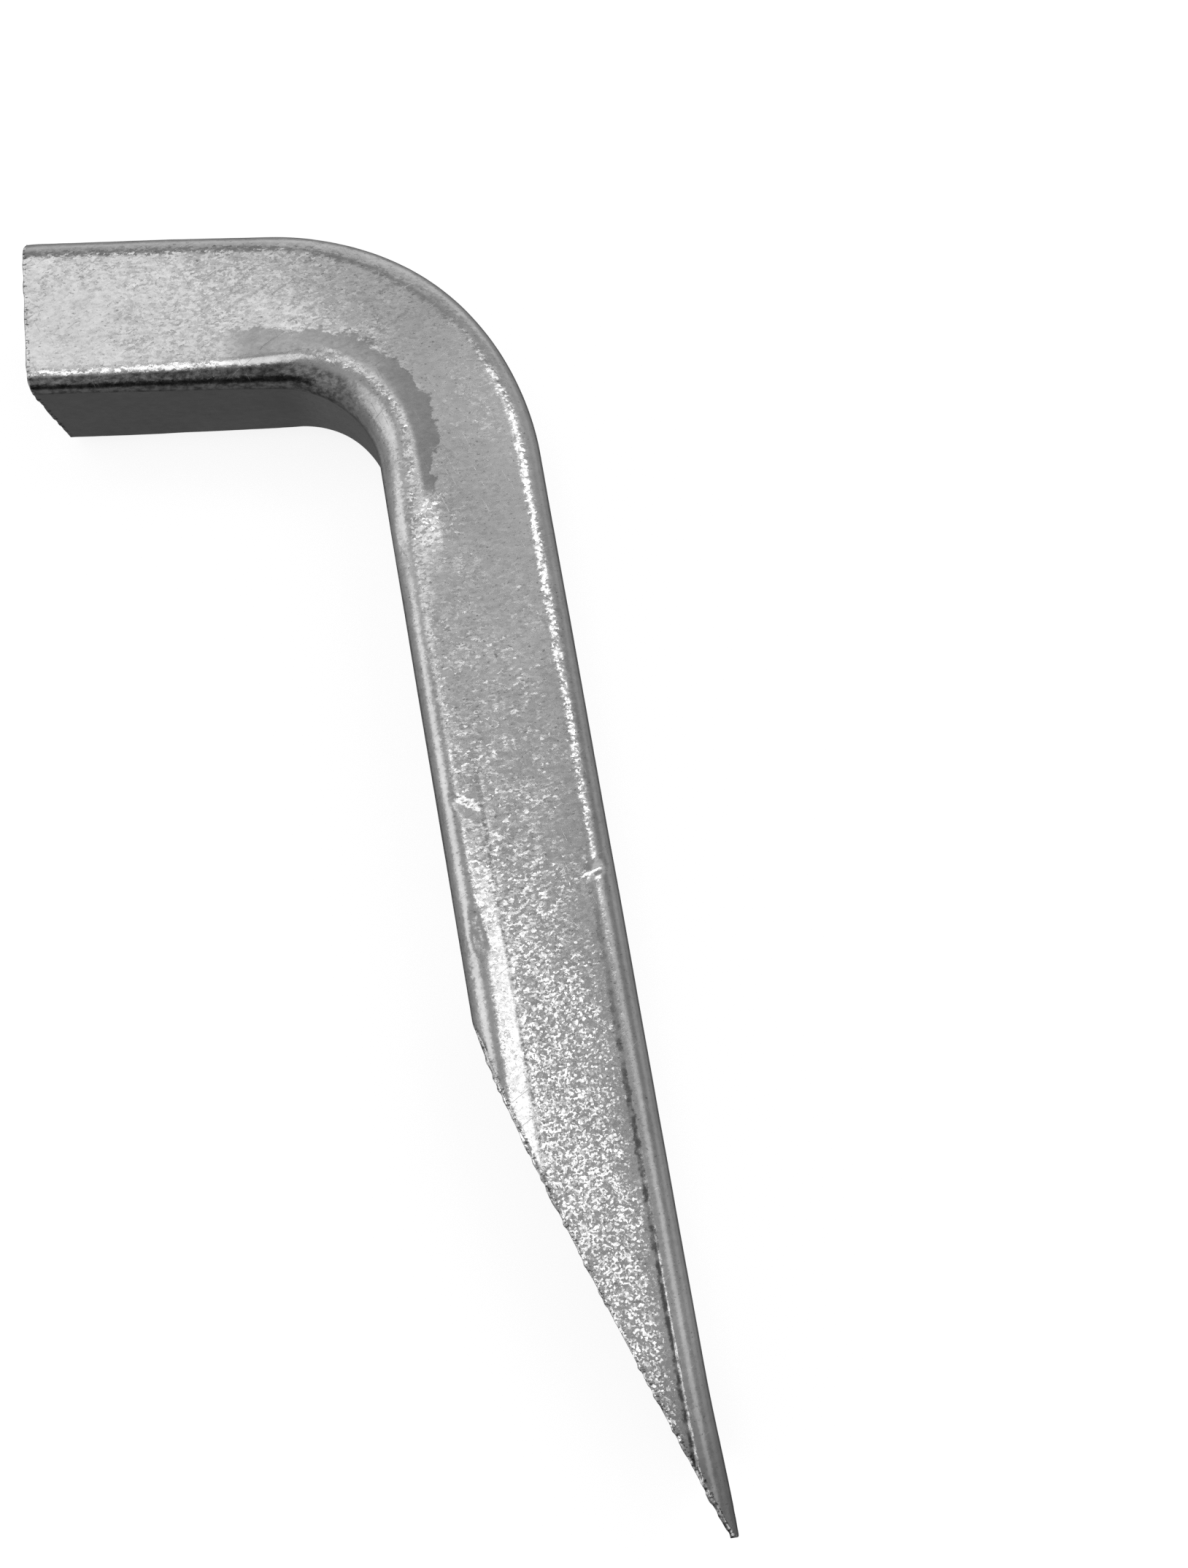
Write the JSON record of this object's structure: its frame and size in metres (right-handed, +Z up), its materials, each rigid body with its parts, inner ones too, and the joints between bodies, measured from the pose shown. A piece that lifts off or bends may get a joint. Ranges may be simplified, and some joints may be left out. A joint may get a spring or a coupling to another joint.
{
  "type": "tyre lever",
  "caption": "L-shaped tyre lever cold bent from square steel bar, with a sawn short leg and a long leg ground on its inner side to a wedge tip.",
  "frame": {"origin": "on the side face the lever rests on, on the long leg's centreline, where the outside of the bend ends and the straight long leg begins", "axes": "+Z up through the bar's thickness, away from the resting face; -Y along the long leg towards the tip; -X is the inner side of the L, where the short leg points and the bevel is ground; +X is the back of the long leg"},
  "size_m": [0.0491, 0.1361, 0.016],
  "materials": {
    "zinc_steel": "bright zinc plating over rolled steel bar, satin, with a darker ground bevel and saw-marked end"
  },
  "bodies": {
    "root": {"lever_bar": "zinc_steel"}
  },
  "joints": []
}
